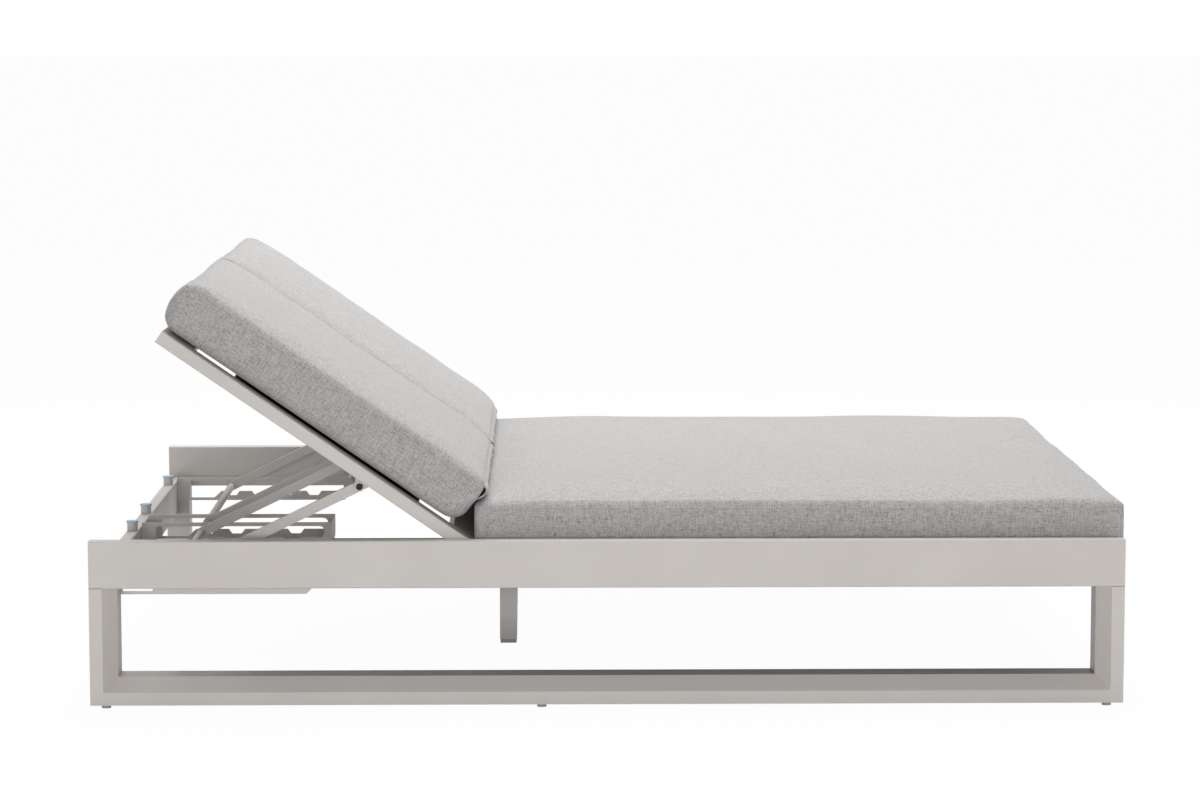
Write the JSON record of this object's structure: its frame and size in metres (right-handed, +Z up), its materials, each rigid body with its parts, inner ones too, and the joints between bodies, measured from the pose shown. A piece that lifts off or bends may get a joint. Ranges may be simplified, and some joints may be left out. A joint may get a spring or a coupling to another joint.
{
  "type": "double chaise lounger",
  "caption": "Low outdoor daybed lounger for two: open sled sides, one wide seat cushion and separate reclining backrests on notched prop supports.",
  "frame": {"origin": "on the floor, under the middle of the frame", "axes": "+X from head end to foot end, +Y towards the left side of someone lying on it, +Z up"},
  "size_m": [2, 1.5, 0.8183],
  "materials": {
    "frame_coating": "powder-coated in a warm light grey, satin",
    "cushion_fabric": "heathered woven outdoor fabric over foam",
    "sling_mesh": "dark coated mesh",
    "bumper_rubber": "pale blue, matt",
    "glide_plastic": "grey, matt",
    "black_steel": "black, low sheen"
  },
  "bodies": {
    "base": {"side_rail_right": "frame_coating", "side_rail_left": "frame_coating", "rail_end_plates": "frame_coating", "sill_right": "frame_coating", "sill_left": "frame_coating", "head_post_right": "frame_coating", "head_post_left": "frame_coating", "foot_post_right": "frame_coating", "foot_post_left": "frame_coating", "post_caps": "frame_coating", "head_crossbar": "frame_coating", "foot_crossbar": "frame_coating", "hinge_beam": "frame_coating", "centre_beam": "frame_coating", "centre_leg": "frame_coating", "centre_leg_glide": "glide_plastic", "sill_glides": "glide_plastic", "bumpers": "frame_coating", "bumper_caps": "bumper_rubber", "seat_rail_right": "frame_coating", "seat_rail_left": "frame_coating", "seat_rail_centre": "frame_coating", "seat_foot_rail": "frame_coating", "seat_sling_right": "sling_mesh", "seat_sling_left": "sling_mesh", "hinge_lugs": "frame_coating", "hinge_bolts": "black_steel", "ratchet_plate_outer_right": "frame_coating", "ratchet_plate_outer_left": "frame_coating", "ratchet_plate_inner_right": "frame_coating", "ratchet_plate_inner_left": "frame_coating", "ratchet_end_plate": "frame_coating", "ratchet_bracket_right": "frame_coating", "ratchet_bracket_left": "frame_coating", "seat_cushion": "cushion_fabric"},
    "backrest_right": {"back_outer_rail_right": "frame_coating", "back_inner_rail_right": "frame_coating", "back_head_rail_right": "frame_coating", "back_foot_rail_right": "frame_coating", "back_rail_plugs_right": "frame_coating", "back_sling_right": "sling_mesh", "back_cushion_right": "cushion_fabric", "prop_ears_right": "frame_coating", "prop_bolts_right": "black_steel"},
    "backrest_left": {"back_outer_rail_left": "frame_coating", "back_inner_rail_left": "frame_coating", "back_head_rail_left": "frame_coating", "back_foot_rail_left": "frame_coating", "back_rail_plugs_left": "frame_coating", "back_sling_left": "sling_mesh", "back_cushion_left": "cushion_fabric", "prop_ears_left": "frame_coating", "prop_bolts_left": "black_steel"},
    "prop_right": {"prop_arm_outer_right": "frame_coating", "prop_arm_inner_right": "frame_coating", "prop_rod_right": "frame_coating"},
    "prop_left": {"prop_arm_outer_left": "frame_coating", "prop_arm_inner_left": "frame_coating", "prop_rod_left": "frame_coating"}
  },
  "joints": [
    {"name": "right_back_recline", "type": "hinge", "parent": "base", "child": "backrest_right", "pos_m": [-0.24, -0.36, 0.2945], "axis": [0, 1, 0], "range_deg": [-34.6, 32.4]},
    {"name": "right_prop_swing", "type": "hinge", "parent": "backrest_right", "child": "prop_right", "pos_m": [-0.48189, -0.36, 0.42638], "axis": [0, -1, 0], "range_deg": [-55.6, 52.1]},
    {"name": "left_back_recline", "type": "hinge", "parent": "base", "child": "backrest_left", "pos_m": [-0.24, 0.36, 0.2945], "axis": [0, 1, 0], "range_deg": [-34.6, 32.4]},
    {"name": "left_prop_swing", "type": "hinge", "parent": "backrest_left", "child": "prop_left", "pos_m": [-0.48189, 0.36, 0.42638], "axis": [0, -1, 0], "range_deg": [-55.6, 52.1]}
  ],
  "couplings": [
    {"joint": "right_prop_swing", "follows": "right_back_recline", "ratio": 1.606},
    {"joint": "left_prop_swing", "follows": "left_back_recline", "ratio": 1.606}
  ]
}
